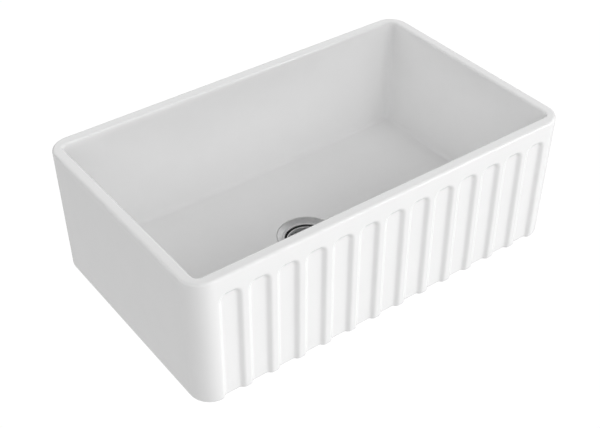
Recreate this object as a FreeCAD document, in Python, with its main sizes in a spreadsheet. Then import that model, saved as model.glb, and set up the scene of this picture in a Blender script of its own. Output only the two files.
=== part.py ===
import FreeCAD, Part
import math
import os
import Sketcher

# A fluted apron-front kitchen sink of glazed fireclay with its basket strainer waste.
# Frame: the origin lies on the base plane under the middle of the basin, +X runs to the right along
# the apron, -Y points out of the apron and +Z is up. All the waste parts are turned about one upright
# axis, the drain axis, which stands drain_offset behind the middle.

document = FreeCAD.newDocument("apron_sink")

SIZES = [
    # basin, outside
    ("basin_width", 760.0),
    ("basin_depth", 455.0),
    ("basin_height", 250.0),
    ("end_taper", 6.0),
    ("corner_radius", 38.0),
    ("rim_outer_edge", 5.0),
    ("base_edge", 8.0),
    # basin, inside
    ("rim_width", 20.0),
    ("rim_inner_edge", 4.0),
    ("bowl_draft", 1.5),
    ("bowl_corner", 11.0),
    ("bowl_floor_edge", 8.0),
    ("drain_level", 17.0),
    ("floor_slope", 0.033),
    ("drain_offset", 4.5),
    # flutes in the apron
    ("flute_count", 13),
    ("flute_pitch", 52.4),
    ("flute_width", 47.0),
    ("flute_floor_width", 24.0),
    ("flute_depth", 5.5),
    ("flute_lead", 0.15),
    ("flute_arch_drop", 53.0),
    # drain hole and its seats
    ("hole_radius", 45.0),
    ("hole_lip", 1.0),
    ("seat_radius", 55.5),
    ("seat_step", 2.6),
    ("seat_slope", 0.52),
    ("recess_margin", 8.5),
    ("recess_depth", 3.0),
    # strainer flange, pressed from steel sheet
    ("sheet", 1.0),
    ("edge_gap", 0.8),
    ("ledge_width", 2.2),
    ("throat_radius", 41.0),
    ("cup_drop", 30.0),
    ("cup_bend", 5.0),
    ("slot_radius", 8.0),
    ("slot_circle", 25.0),
    ("slot_count", 6),
    # gaskets
    ("flange_gasket_thickness", 1.5),
    ("flange_gasket_inset", 0.5),
    ("sink_gasket_thickness", 2.5),
    ("sink_gasket_inset", 1.0),
    ("sink_gasket_overhang", 1.4),
    # moulded waste body
    ("collar_gap", 8.0),
    ("collar_thickness", 6.0),
    ("collar_edge", 1.5),
    ("body_gap", 2.5),
    ("body_wall", 3.0),
    ("body_drop", 46.0),
    ("outlet_shoulder", 64.0),
    ("outlet_drop", 92.0),
    ("outlet_radius", 23.9),
    ("outlet_wall", 3.4),
    ("boss_radius", 12.0),
    ("boss_top", 44.0),
    ("boss_height", 24.0),
    ("web_thickness", 3.0),
    ("web_drop", 2.0),
    ("web_count", 2),
    # central fixing
    ("screw_radius", 6.0),
    ("screw_hole_gap", 0.6),
    ("screw_length", 33.0),
    ("screw_head_radius", 11.0),
    ("screw_head_height", 3.0),
    ("screw_bore_radius", 4.5),
    ("screw_bore_depth", 16.0),
    ("screw_slot_width", 2.4),
    ("screw_slot_depth", 1.2),
    ("screw_washer_radius", 12.5),
    ("screw_washer_thickness", 1.5),
    ("insert_radius", 8.5),
    ("insert_length", 18.0),
    ("thread_gap", 0.05),
    # strainer basket
    ("basket_sheet", 0.8),
    ("basket_level", 8.0),
    ("basket_rim_radius", 37.2),
    ("basket_rim_lip", 2.0),
    ("basket_floor_radius", 33.4),
    ("basket_height", 24.0),
    ("basket_bend", 4.0),
    ("wall_hole_radius", 2.1),
    ("wall_hole_count", 24),
    ("wall_hole_pitch", 6.2),
    ("wall_hole_top", 7.0),
    ("floor_hole_radius", 1.9),
    ("floor_hole_pitch", 4.1),
    ("floor_hole_count", 12),
    ("floor_hole_rings", 5),
    # rubber seal round the basket
    ("seal_height", 3.4),
    ("seal_gap", 0.3),
    ("seal_chamfer", 1.2),
    # stem, knob and their small parts
    ("stem_radius", 4.2),
    ("stem_gap", 0.1),
    ("stem_reach", 11.5),
    ("stem_tip", 1.5),
    ("shoulder_radius", 8.0),
    ("shoulder_thickness", 1.5),
    ("turning_gap", 0.2),
    ("neck_radius", 4.0),
    ("ring_width", 1.2),
    ("ring_height_up", 4.0),
    ("ring_groove_radius", 3.4),
    ("ring_radius", 4.35),
    ("ring_gap_angle", 30.0),
    ("washer_radius", 8.5),
    ("washer_thickness", 1.0),
    ("nut_flats", 13.0),
    ("nut_height", 3.0),
    ("knob_radius", 10.5),
    ("knob_waist", 6.2),
    ("knob_height", 18.0),
    ("knob_base", 3.0),
    ("knob_bore_depth", 12.0),
    ("knob_waist_share", 0.35),
    ("knob_swell_share", 0.65),
    ("knob_crown_share", 0.8),
    ("knob_crown_radius_share", 0.75),
]

sheet_object = document.addObject("Spreadsheet::Sheet", "sizes")
for row, (alias, number) in enumerate(SIZES, start=1):
    sheet_object.set("A%d" % row, alias)
    sheet_object.set("B%d" % row, str(number))
    sheet_object.setAlias("B%d" % row, alias)
document.recompute()

CLOSE = 0.01
SMALLEST_CUT = 0.5
ALIASES = {alias for alias, number in SIZES}


def text(expression):
    """Put the sheet's name before each alias, so that an expression can be written with aliases alone."""
    words = []
    word = ""
    for letter in expression + " ":
        if letter.isalnum() or letter in "_.":
            word += letter
            continue
        words.append("sizes." + word if word in ALIASES else word)
        words.append(letter)
        word = ""
    return "".join(words).strip()


def value(expression):
    """The number that an expression of aliases comes to."""
    result = sheet_object.evalExpression(text(expression))
    return float(getattr(result, "Value", result))


def new_body(label, on_drain_axis=True):
    """A body whose own axis is the drain axis, or which stands in the basin's own frame."""
    body = document.addObject("PartDesign::Body", label)
    body.Label = label
    if on_drain_axis:
        body.setExpression("Placement.Base.y", text("drain_offset"))
    return body


def origin_feature(body, role):
    """One of the planes or axes that a body has of its own."""
    for feature in body.Origin.OriginFeatures:
        if feature.Role == role:
            return feature
    raise ValueError(role)


def new_sketch(body, name, role, level=None, across=None):
    """A sketch on one of the body's own planes, raised by level and moved by across where they are given."""
    sketch = body.newObject("Sketcher::SketchObject", name)
    sketch.AttachmentSupport = [(origin_feature(body, role), "")]
    sketch.MapMode = "FlatFace"
    if level is not None:
        sketch.setExpression("AttachmentOffset.Base.z", text(level))
    if across is not None:
        sketch.setExpression("AttachmentOffset.Base.x", text(across))
    return sketch


def fix_corner(sketch, line, end, across, up):
    """Tie a line's end to its distances from the sketch's origin, each an expression."""
    for kind, expression in (("DistanceX", across), ("DistanceY", up)):
        distance = value(expression)
        if distance < 0.0:
            constraint = Sketcher.Constraint(kind, line, end, -1, 1, -distance)
            expression = "-(" + expression + ")"
        else:
            constraint = Sketcher.Constraint(kind, -1, 1, line, end, distance)
        index = sketch.addConstraint(constraint)
        sketch.setExpression("Constraints[%d]" % index, text(expression))


def draw_outline(sketch, corners):
    """A closed outline of straight lines through corners, each a pair of expressions."""
    points = [FreeCAD.Vector(value(across), value(up), 0.0) for across, up in corners]
    count = len(points)
    for index in range(count):
        sketch.addGeometry(Part.LineSegment(points[index], points[(index + 1) % count]), False)
    for index in range(count):
        sketch.addConstraint(Sketcher.Constraint("Coincident", index, 2, (index + 1) % count, 1))
    for index, (across, up) in enumerate(corners):
        fix_corner(sketch, index, 1, across, up)


def turn(body, name, sketch, kind, angle="360"):
    """Turn a sketch about its own upright axis, to add a solid or to cut a groove."""
    turned = body.newObject("PartDesign::" + kind, name)
    turned.Profile = sketch
    turned.ReferenceAxis = (sketch, ["V_Axis"])
    turned.setExpression("Angle", text(angle))
    body.Tip = turned
    document.recompute()
    return turned


def revolve(body, name, corners, kind="Revolution", angle="360", forwards=None):
    """Turn an outline of radius and height pairs about an upright axis, forwards of the body's own."""
    sketch = new_sketch(body, name + "_outline", "XZ_Plane", forwards)
    draw_outline(sketch, corners)
    return turn(body, name, sketch, kind, angle)


def cut_through(body, name, sketch, both_ways=False):
    """Cut a sketch right through the body."""
    cut = body.newObject("PartDesign::Pocket", name)
    cut.Profile = sketch
    cut.Type = "ThroughAll"
    if both_ways:
        cut.SideType = "Symmetric"
    body.Tip = cut
    document.recompute()
    return cut


def ring_of_holes(body, name, role, centres, radius, count, level=None):
    """Round holes cut along a plane's normal, the whole group repeated round the body's upright axis."""
    sketch = new_sketch(body, name + "_outline", role, level)
    for number, (across, up) in enumerate(centres):
        centre = FreeCAD.Vector(value(across), value(up), 0.0)
        sketch.addGeometry(Part.Circle(centre, FreeCAD.Vector(0.0, 0.0, 1.0), value(radius)), False)
        index = sketch.addConstraint(Sketcher.Constraint("Radius", number, value(radius)))
        sketch.setExpression("Constraints[%d]" % index, text(radius))
        fix_corner(sketch, number, 3, across, up)
    before = body.Tip.Shape.Volume
    hole = cut_through(body, name, sketch)
    if hole.Shape.Volume > before - SMALLEST_CUT:
        hole.Reversed = True
        document.recompute()
    return repeat_round(body, name + "_ring", hole, count)


def repeat_round(body, name, feature, count, angle=360.0):
    """Repeat a feature round the body's upright axis."""
    pattern = body.newObject("PartDesign::PolarPattern", name)
    pattern.Originals = [feature]
    pattern.Axis = (origin_feature(body, "Z_Axis"), [""])
    pattern.Angle = angle
    pattern.Refine = False
    pattern.setExpression("Occurrences", text(count))
    body.Tip = pattern
    document.recompute()
    return pattern


def round_edges(body, name, radius, wanted):
    """Round the edges for which wanted(edge) is true."""
    base = body.Tip
    names = ["Edge%d" % (number + 1) for number, edge in enumerate(base.Shape.Edges) if wanted(edge)]
    fillet = body.newObject("PartDesign::Fillet", name)
    fillet.Base = (base, names)
    fillet.Radius = value(radius)
    fillet.setExpression("Radius", text(radius))
    body.Tip = fillet
    document.recompute()
    return fillet


def ring_edge(radius, height):
    """A test for the round edges of one radius at one height in a body turned about its own axis."""
    def wanted(edge):
        if not hasattr(edge.Curve, "Radius"):
            return False
        same_radius = abs(edge.Curve.Radius - value(radius)) < CLOSE
        return same_radius and abs(edge.BoundBox.ZMin - value(height)) < CLOSE
    return wanted


def rounded_rectangle(body, name, level, half_width, half_depth, corner):
    """A rounded rectangle about the body's origin, level above its base plane."""
    sketch = new_sketch(body, name, "XY_Plane", level)
    x = value(half_width)
    y = value(half_depth)
    r = value(corner)
    up = FreeCAD.Vector(0.0, 0.0, 1.0)
    sides = [
        ((r - x, -y), (x - r, -y)),
        ((x, r - y), (x, y - r)),
        ((x - r, y), (r - x, y)),
        ((-x, y - r), (-x, r - y)),
    ]
    centres = [(x - r, r - y), (x - r, y - r), (r - x, y - r), (r - x, r - y)]
    for start, end in sides:
        sketch.addGeometry(Part.LineSegment(FreeCAD.Vector(*start, 0.0), FreeCAD.Vector(*end, 0.0)), False)
    for quarter, centre in enumerate(centres):
        circle = Part.Circle(FreeCAD.Vector(*centre, 0.0), up, r)
        first = (quarter - 1) * math.pi / 2.0
        sketch.addGeometry(Part.ArcOfCircle(circle, first, first + math.pi / 2.0), False)
    for side in range(4):
        arc = side + 4
        sketch.addConstraint(Sketcher.Constraint("Tangent", side, 2, arc, 1))
        sketch.addConstraint(Sketcher.Constraint("Tangent", arc, 2, (side + 1) % 4, 1))
    sketch.addConstraint(Sketcher.Constraint("Horizontal", 0))
    sketch.addConstraint(Sketcher.Constraint("Vertical", 1))
    sketch.addConstraint(Sketcher.Constraint("Horizontal", 2))
    sketch.addConstraint(Sketcher.Constraint("Vertical", 3))
    for arc in (5, 6, 7):
        sketch.addConstraint(Sketcher.Constraint("Equal", 4, arc))
    distances = [
        (Sketcher.Constraint("Radius", 4, r), corner),
        (Sketcher.Constraint("DistanceX", -1, 1, 1, 1, x), half_width),
        (Sketcher.Constraint("DistanceX", 3, 1, -1, 1, x), half_width),
        (Sketcher.Constraint("DistanceY", -1, 1, 2, 1, y), half_depth),
        (Sketcher.Constraint("DistanceY", 0, 1, -1, 1, y), half_depth),
    ]
    for constraint, expression in distances:
        index = sketch.addConstraint(constraint)
        sketch.setExpression("Constraints[%d]" % index, text(expression))
    return sketch


def pad(body, name, sketch, length, taper=None, both_ways=False, downwards=False):
    """Thicken a sketch, with walls that lean by taper (a rise over the length) where it is given."""
    padded = body.newObject("PartDesign::Pad", name)
    padded.Profile = sketch
    padded.Length = value(length)
    padded.setExpression("Length", text(length))
    padded.Reversed = downwards
    if both_ways:
        padded.SideType = "Symmetric"
    if taper is not None:
        lean = "-atan((%s) / (%s))" % (taper, length)
        padded.setExpression("TaperAngle", text(lean))
    body.Tip = padded
    document.recompute()
    return padded


def seat_level(radius):
    """Height of the dished seat in the fireclay at a radius from the drain axis."""
    return "(drain_level - seat_step - seat_slope * (seat_radius - (%s)))" % radius


# Places that several parts share, as expressions of the sheet's sizes.
FLANGE_RADIUS = "(seat_radius - edge_gap)"
LEDGE_RADIUS = "(throat_radius + ledge_width)"
LEDGE_LEVEL = "(%s + flange_gasket_thickness + sheet)" % seat_level(LEDGE_RADIUS)
COLLAR_LEVEL = "(recess_depth - sink_gasket_thickness)"
RECESS_RADIUS = "(seat_radius + recess_margin)"
COLLAR_RADIUS = "(%s - collar_gap)" % RECESS_RADIUS
BODY_INNER = "(throat_radius + sheet + body_gap)"
SCREW_TOP = "(-cup_drop + screw_washer_thickness + screw_head_height)"
BASKET_FLOOR = "(basket_level - basket_height)"
BASKET_WALL_TOP = "(basket_rim_radius - basket_rim_lip)"
WASHER_LEVEL = "(%s - basket_sheet - turning_gap)" % BASKET_FLOOR
STEM_END = "(%s - stem_reach)" % SCREW_TOP


def make_bowl_space():
    """The hollow of the bowl as a solid: drafted walls over a floor that falls to the drain."""
    body = new_body("bowl_space")
    mouth = rounded_rectangle(
        body, "bowl_mouth", "basin_height",
        "basin_width / 2 - rim_width", "basin_depth / 2 - rim_width", "bowl_corner",
    )
    mouth.setExpression("AttachmentOffset.Base.y", text("-drain_offset"))
    pad(body, "bowl_walls", mouth, "basin_height - recess_depth", "bowl_draft", downwards=True)
    reach = "(basin_width / 2 + basin_depth / 2)"
    revolve(body, "floor_fall", [
        ("0", "0"),
        (reach, "0"),
        (reach, "drain_level + floor_slope * (%s - seat_radius)" % reach),
        ("0", "drain_level - floor_slope * seat_radius"),
    ], kind="Groove")
    middle = value("basin_height") / 2.0
    highest = value("drain_level + floor_slope * %s" % reach)

    def at_the_floor(edge):
        box = edge.BoundBox
        return box.ZMax < highest and box.ZMax - box.ZMin < middle and not is_floor_seam(edge)

    round_edges(body, "floor_edge", "bowl_floor_edge", at_the_floor)
    return body


def is_floor_seam(edge):
    """A seam of the floor's cone runs in from the wall to the drain axis."""
    return min(math.hypot(vertex.X, vertex.Y) for vertex in edge.Vertexes) < value("seat_radius")


def flute_outline(sketch, whole):
    """Section of a flute: a flat floor that meets the face through two equal arcs on each side.

    The sketch's origin is on the face, its second axis points into the fireclay. The outline starts
    flute_lead outside the face, so that the outer arc leaves the face at a slight angle. Half of the
    section, up to the middle of the floor, serves for the arch.
    """
    depth = value("flute_depth")
    lead = value("flute_lead")
    outer = value("flute_width / 2")
    inner = value("flute_floor_width / 2")
    swing = outer - inner
    drop = depth + lead
    radius = (swing ** 2 + drop ** 2) / (4.0 * drop)
    lean = math.atan2(radius - drop / 2.0, swing / 2.0)
    up = FreeCAD.Vector(0.0, 0.0, 1.0)

    def line(start, end):
        first = FreeCAD.Vector(start[0], start[1], 0.0)
        last = FreeCAD.Vector(end[0], end[1], 0.0)
        return sketch.addGeometry(Part.LineSegment(first, last), False)

    def arc(centre, first, last):
        circle = Part.Circle(FreeCAD.Vector(centre[0], centre[1], 0.0), up, radius)
        return sketch.addGeometry(Part.ArcOfCircle(circle, first, last), False)

    def centre_across(curve, across):
        distance = value(across)
        if distance < 0.0:
            constraint = Sketcher.Constraint("DistanceX", curve, 3, -1, 1, -distance)
            across = "-(" + across + ")"
        else:
            constraint = Sketcher.Constraint("DistanceX", -1, 1, curve, 3, distance)
        index = sketch.addConstraint(constraint)
        sketch.setExpression("Constraints[%d]" % index, text(across))

    def join(first, first_end, last, last_end):
        sketch.addConstraint(Sketcher.Constraint("Coincident", first, first_end, last, last_end))

    out = -depth
    left = -inner if whole else 0.0
    far = -outer if whole else 0.0
    floor = line((left, depth), (inner, depth))
    foot = arc((inner, depth - radius), lean, math.pi / 2.0)
    brow = arc((outer, radius - lead), lean - math.pi, -math.pi / 2.0)
    side = line((outer, -lead), (outer, out))
    back = line((outer, out), (far, out))
    join(floor, 2, foot, 2)
    sketch.addConstraint(Sketcher.Constraint("Tangent", foot, 1, brow, 1))
    join(brow, 2, side, 1)
    join(side, 2, back, 1)
    fix_corner(sketch, floor, 2, "flute_floor_width / 2", "flute_depth")
    fix_corner(sketch, side, 1, "flute_width / 2", "-flute_lead")
    fix_corner(sketch, side, 2, "flute_width / 2", "-flute_depth")
    centre_across(foot, "flute_floor_width / 2")
    centre_across(brow, "flute_width / 2")
    sketch.addConstraint(Sketcher.Constraint("Equal", foot, brow))
    if not whole:
        middle = line((0.0, out), (0.0, depth))
        join(back, 2, middle, 1)
        join(middle, 2, floor, 1)
        fix_corner(sketch, middle, 1, "0", "-flute_depth")
        fix_corner(sketch, middle, 2, "0", "flute_depth")
        return
    far_side = line((-outer, out), (-outer, -lead))
    far_brow = arc((-outer, radius - lead), -math.pi / 2.0, -lean)
    far_foot = arc((-inner, depth - radius), math.pi / 2.0, math.pi - lean)
    join(back, 2, far_side, 1)
    join(far_side, 2, far_brow, 1)
    sketch.addConstraint(Sketcher.Constraint("Tangent", far_brow, 2, far_foot, 2))
    join(far_foot, 1, floor, 1)
    fix_corner(sketch, far_side, 1, "-flute_width / 2", "-flute_depth")
    fix_corner(sketch, far_side, 2, "-flute_width / 2", "-flute_lead")
    fix_corner(sketch, floor, 1, "-flute_floor_width / 2", "flute_depth")
    centre_across(far_brow, "-flute_width / 2")
    centre_across(far_foot, "-flute_floor_width / 2")
    sketch.addConstraint(Sketcher.Constraint("Equal", far_brow, far_foot))


def make_basin():
    """The fireclay basin: one moulded piece with a bowl, a drain seat and a fluted apron."""
    body = new_body("basin", on_drain_axis=False)
    front = new_sketch(body, "front_view", "XZ_Plane")
    draw_outline(front, [
        ("end_taper - basin_width / 2", "0"),
        ("basin_width / 2 - end_taper", "0"),
        ("basin_width / 2", "basin_height"),
        ("-basin_width / 2", "basin_height"),
    ])
    pad(body, "block", front, "basin_depth", both_ways=True)
    height = value("basin_height")
    half_depth = value("basin_depth / 2")

    def upright(edge):
        return edge.BoundBox.ZLength > height / 2.0

    def level_at(level):
        def wanted(edge):
            return abs(edge.BoundBox.ZMin - level) < CLOSE and abs(edge.BoundBox.ZMax - level) < CLOSE
        return wanted

    round_edges(body, "corners", "corner_radius", upright)
    round_edges(body, "rim_outside", "rim_outer_edge", level_at(height))
    round_edges(body, "base_outside", "base_edge", level_at(0.0))
    bowl = make_bowl_space()
    hollow = document.addObject("PartDesign::Boolean", "bowl")
    hollow.setObjects([bowl])
    body.addObject(hollow)
    hollow.Type = "Cut"
    body.Tip = hollow
    document.recompute()
    inside = half_depth - value("rim_width") + CLOSE

    def mouth(edge):
        return level_at(height)(edge) and edge.BoundBox.YMax < inside and edge.BoundBox.YMin > -inside

    round_edges(body, "rim_inside", "rim_inner_edge", mouth)
    seat_foot = "(hole_radius + hole_lip)"
    revolve(body, "drain_hole", [
        ("0", "drain_level + seat_step"),
        ("seat_radius", "drain_level + seat_step"),
        ("seat_radius", seat_level("seat_radius")),
        (seat_foot, seat_level(seat_foot)),
        ("hole_radius", seat_level(seat_foot) + " - hole_lip"),
        ("hole_radius", "recess_depth"),
        (RECESS_RADIUS, "recess_depth"),
        (RECESS_RADIUS, "-recess_depth"),
        ("0", "-recess_depth"),
    ], kind="Groove", forwards="-drain_offset")
    first_flute = "-flute_pitch * (flute_count - 1) / 2"
    arch_level = "basin_height - flute_arch_drop"
    arch = new_sketch(body, "arch_outline", "XY_Plane", arch_level, first_flute)
    channel = new_sketch(body, "channel_outline", "XY_Plane", arch_level, first_flute)
    for outline in (arch, channel):
        outline.setExpression("AttachmentOffset.Base.y", text("-basin_depth / 2"))
    flute_outline(arch, whole=False)
    flute_outline(channel, whole=True)
    head = turn(body, "flute_arch", arch, "Groove")
    length = cut_through(body, "flute_channel", channel)
    row = body.newObject("PartDesign::LinearPattern", "flutes")
    row.Originals = [head, length]
    row.Direction = (channel, ["H_Axis"])
    row.setExpression("Length", text("flute_pitch * (flute_count - 1)"))
    row.setExpression("Occurrences", text("flute_count"))
    body.Tip = row
    document.recompute()
    return body


def make_flange_gasket():
    """Foam ring that beds the flange on the dished seat."""
    body = new_body("flange_gasket")
    inner = "(hole_radius + hole_lip + flange_gasket_inset)"
    outer = "(%s - flange_gasket_inset)" % FLANGE_RADIUS
    revolve(body, "ring", [
        (inner, seat_level(inner)),
        (outer, seat_level(outer)),
        (outer, seat_level(outer) + " + flange_gasket_thickness"),
        (inner, seat_level(inner) + " + flange_gasket_thickness"),
    ])
    return body


def make_strainer_flange():
    """Pressed steel: a dished flange, a ledge, a straight throat and a cup floor with water slots."""
    body = new_body("strainer_flange")
    underside = "flange_gasket_thickness"
    topside = "flange_gasket_thickness + sheet"
    revolve(body, "pressing", [
        (FLANGE_RADIUS, seat_level(FLANGE_RADIUS) + " + " + underside),
        (FLANGE_RADIUS, seat_level(FLANGE_RADIUS) + " + " + topside),
        (LEDGE_RADIUS, LEDGE_LEVEL),
        ("throat_radius", LEDGE_LEVEL),
        ("throat_radius", "-cup_drop"),
        ("screw_radius + screw_hole_gap", "-cup_drop"),
        ("screw_radius + screw_hole_gap", "-cup_drop - sheet"),
        ("throat_radius + sheet", "-cup_drop - sheet"),
        ("throat_radius + sheet", LEDGE_LEVEL + " - sheet"),
        (LEDGE_RADIUS, LEDGE_LEVEL + " - sheet"),
    ])
    round_edges(body, "cup_bend_inside", "cup_bend", ring_edge("throat_radius", "-cup_drop"))
    round_edges(
        body, "cup_bend_outside", "cup_bend + sheet",
        ring_edge("throat_radius + sheet", "-cup_drop - sheet"),
    )
    ring_of_holes(
        body, "water_slot", "XY_Plane", [("slot_circle", "0")], "slot_radius", "slot_count",
        level="-cup_drop + sheet",
    )
    return body


def make_sink_gasket():
    """Rubber ring between the underside of the fireclay and the waste body."""
    body = new_body("sink_gasket")
    inner = "(hole_radius - sink_gasket_overhang)"
    outer = "(%s - sink_gasket_inset)" % COLLAR_RADIUS
    revolve(body, "ring", [
        (inner, COLLAR_LEVEL),
        (outer, COLLAR_LEVEL),
        (outer, "recess_depth"),
        (inner, "recess_depth"),
    ])
    return body


def make_waste_body():
    """Moulded plastic: a collar, a bowl round the strainer cup and a threaded outlet for the trap.

    A cross of webs inside carries the boss that holds the threaded insert over the outlet.
    """
    body = new_body("waste_body")
    outlet_inner = "(outlet_radius - outlet_wall)"
    revolve(body, "shell", [
        (BODY_INNER, COLLAR_LEVEL),
        (COLLAR_RADIUS, COLLAR_LEVEL),
        (COLLAR_RADIUS, COLLAR_LEVEL + " - collar_thickness"),
        (BODY_INNER + " + body_wall", COLLAR_LEVEL + " - collar_thickness"),
        (BODY_INNER + " + body_wall", "-body_drop"),
        ("outlet_radius", "-outlet_shoulder"),
        ("outlet_radius", "-outlet_drop"),
        (outlet_inner, "-outlet_drop"),
        (outlet_inner, "-outlet_shoulder"),
        (BODY_INNER, "-body_drop"),
    ])
    round_edges(
        body, "collar_edge", "collar_edge",
        ring_edge(COLLAR_RADIUS, COLLAR_LEVEL + " - collar_thickness"),
    )
    web_reach = "(%s + body_wall / 2)" % BODY_INNER
    web_foot = "(outlet_radius - outlet_wall / 2)"
    web = new_sketch(body, "web_outline", "XZ_Plane")
    draw_outline(web, [
        ("-" + web_reach, "-boss_top - web_drop"),
        ("-" + web_reach, "-body_drop - web_drop / 2"),
        ("-" + web_foot, "-outlet_shoulder"),
        (web_foot, "-outlet_shoulder"),
        (web_reach, "-body_drop - web_drop / 2"),
        (web_reach, "-boss_top - web_drop"),
    ])
    plate = pad(body, "web", web, "web_thickness", both_ways=True)
    repeat_round(body, "webs", plate, "web_count", angle=180.0)
    revolve(body, "boss", [
        ("0", "-boss_top - boss_height"),
        ("boss_radius", "-boss_top - boss_height"),
        ("boss_radius", "-boss_top"),
        ("0", "-boss_top"),
    ])
    insert_hole = "(insert_radius + thread_gap)"
    revolve(body, "insert_bore", [
        ("0", "-boss_top - insert_length"),
        (insert_hole, "-boss_top - insert_length"),
        (insert_hole, "-boss_top + web_drop"),
        ("0", "-boss_top + web_drop"),
    ], kind="Groove")
    return body


def make_screw_insert():
    """Brass thread insert moulded into the boss."""
    body = new_body("screw_insert")
    revolve(body, "sleeve", [
        ("screw_radius + thread_gap", "-boss_top - insert_length"),
        ("insert_radius", "-boss_top - insert_length"),
        ("insert_radius", "-boss_top"),
        ("screw_radius + thread_gap", "-boss_top"),
    ])
    return body


def make_fixing_screw():
    """Hollow-headed steel screw that clamps the flange to the waste body through the fireclay."""
    body = new_body("fixing_screw")
    under_head = "(%s - screw_head_height)" % SCREW_TOP
    revolve(body, "turning", [
        ("screw_bore_radius", SCREW_TOP),
        ("screw_head_radius", SCREW_TOP),
        ("screw_head_radius", under_head),
        ("screw_radius", under_head),
        ("screw_radius", under_head + " - screw_length"),
        ("0", under_head + " - screw_length"),
        ("0", SCREW_TOP + " - screw_bore_depth"),
        ("screw_bore_radius", SCREW_TOP + " - screw_bore_depth"),
    ])
    sketch = new_sketch(body, "slot_outline", "XZ_Plane")
    half = "(screw_slot_width / 2)"
    draw_outline(sketch, [
        ("-" + half, SCREW_TOP + " - screw_slot_depth"),
        (half, SCREW_TOP + " - screw_slot_depth"),
        (half, SCREW_TOP + " + screw_slot_depth"),
        ("-" + half, SCREW_TOP + " + screw_slot_depth"),
    ])
    cut_through(body, "slot", sketch, both_ways=True)
    return body


def make_screw_washer():
    """Rubber washer that seals the screw's head on the cup floor."""
    body = new_body("screw_washer")
    revolve(body, "ring", [
        ("screw_radius + screw_hole_gap / 2", "-cup_drop"),
        ("screw_washer_radius", "-cup_drop"),
        ("screw_washer_radius", "-cup_drop + screw_washer_thickness"),
        ("screw_radius + screw_hole_gap / 2", "-cup_drop + screw_washer_thickness"),
    ])
    return body


def make_basket_cup():
    """Drawn steel basket with a flat rim, a perforated wall and a perforated floor."""
    body = new_body("basket_cup")
    stem_hole = "(stem_radius + stem_gap)"
    revolve(body, "drawn_cup", [
        ("basket_rim_radius", "basket_level - basket_sheet"),
        ("basket_rim_radius", "basket_level"),
        (BASKET_WALL_TOP, "basket_level"),
        ("basket_floor_radius", BASKET_FLOOR),
        (stem_hole, BASKET_FLOOR),
        (stem_hole, BASKET_FLOOR + " - basket_sheet"),
        ("basket_floor_radius + basket_sheet", BASKET_FLOOR + " - basket_sheet"),
        (BASKET_WALL_TOP + " + basket_sheet", "basket_level - basket_sheet"),
    ])
    round_edges(body, "bend_inside", "basket_bend", ring_edge("basket_floor_radius", BASKET_FLOOR))
    round_edges(
        body, "bend_outside", "basket_bend + basket_sheet",
        ring_edge("basket_floor_radius + basket_sheet", BASKET_FLOOR + " - basket_sheet"),
    )
    stagger = "(basket_floor_radius * sin(180 / wall_hole_count))"
    ring_of_holes(
        body, "wall_hole", "YZ_Plane",
        [
            ("0", "basket_level - wall_hole_top"),
            (stagger, "basket_level - wall_hole_top - wall_hole_pitch"),
        ],
        "wall_hole_radius", "wall_hole_count",
    )
    spokes = []
    for step in range(int(value("floor_hole_rings"))):
        reach = "(shoulder_radius + floor_hole_pitch * %d)" % (step + 1)
        turn = "(%d * 180 / floor_hole_count)" % (step % 2)
        spokes.append(("%s * cos(%s)" % (reach, turn), "%s * sin(%s)" % (reach, turn)))
    ring_of_holes(
        body, "floor_hole", "XY_Plane", spokes, "floor_hole_radius", "floor_hole_count",
        level=BASKET_FLOOR + " + basket_sheet",
    )
    return body


def make_rim_seal():
    """Black rubber ring stretched round the basket, under its rim and flush with it."""
    body = new_body("rim_seal")
    inner = "(%s + basket_sheet)" % BASKET_WALL_TOP
    outer = "(throat_radius - seal_gap)"
    top = "(basket_level - basket_sheet)"
    rebate = "(basket_rim_radius + seal_gap)"
    revolve(body, "ring", [
        (inner, top + " - seal_height"),
        (outer + " - seal_chamfer", top + " - seal_height"),
        (outer, top + " - seal_height + seal_chamfer"),
        (outer, "basket_level - seal_chamfer / 2"),
        (outer + " - seal_chamfer / 2", "basket_level"),
        (rebate, "basket_level"),
        (rebate, top),
        (inner, top),
    ])
    return body


def make_stem():
    """Turned steel pin: a shoulder over the basket floor, a neck for the knob and a grooved tip."""
    body = new_body("stem")
    shoulder = "(%s + turning_gap)" % BASKET_FLOOR
    groove = "(%s + ring_height_up)" % STEM_END
    revolve(body, "turning", [
        ("0", STEM_END),
        ("stem_radius - stem_tip", STEM_END),
        ("stem_radius", STEM_END + " + stem_tip"),
        ("stem_radius", groove),
        ("ring_groove_radius", groove),
        ("ring_groove_radius", groove + " + ring_width"),
        ("stem_radius", groove + " + ring_width"),
        ("stem_radius", shoulder),
        ("shoulder_radius", shoulder),
        ("shoulder_radius", shoulder + " + shoulder_thickness"),
        ("neck_radius", shoulder + " + shoulder_thickness"),
        ("neck_radius", "-knob_base + knob_bore_depth"),
        ("0", "-knob_base + knob_bore_depth"),
    ])
    return body


def make_stem_ring():
    """Split spring ring in the stem's groove, which grips the screw's bore when the basket is raised."""
    body = new_body("stem_ring")
    groove = "(%s + ring_height_up)" % STEM_END
    revolve(body, "ring", [
        ("ring_groove_radius + thread_gap", groove + " + thread_gap"),
        ("ring_radius", groove + " + thread_gap"),
        ("ring_radius", groove + " + ring_width - thread_gap"),
        ("ring_groove_radius + thread_gap", groove + " + ring_width - thread_gap"),
    ], angle="360 - ring_gap_angle")
    return body


def make_stem_washer():
    """Steel washer under the basket floor."""
    body = new_body("stem_washer")
    revolve(body, "ring", [
        ("stem_radius + thread_gap", WASHER_LEVEL + " - washer_thickness"),
        ("washer_radius", WASHER_LEVEL + " - washer_thickness"),
        ("washer_radius", WASHER_LEVEL),
        ("stem_radius + thread_gap", WASHER_LEVEL),
    ])
    return body


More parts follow.
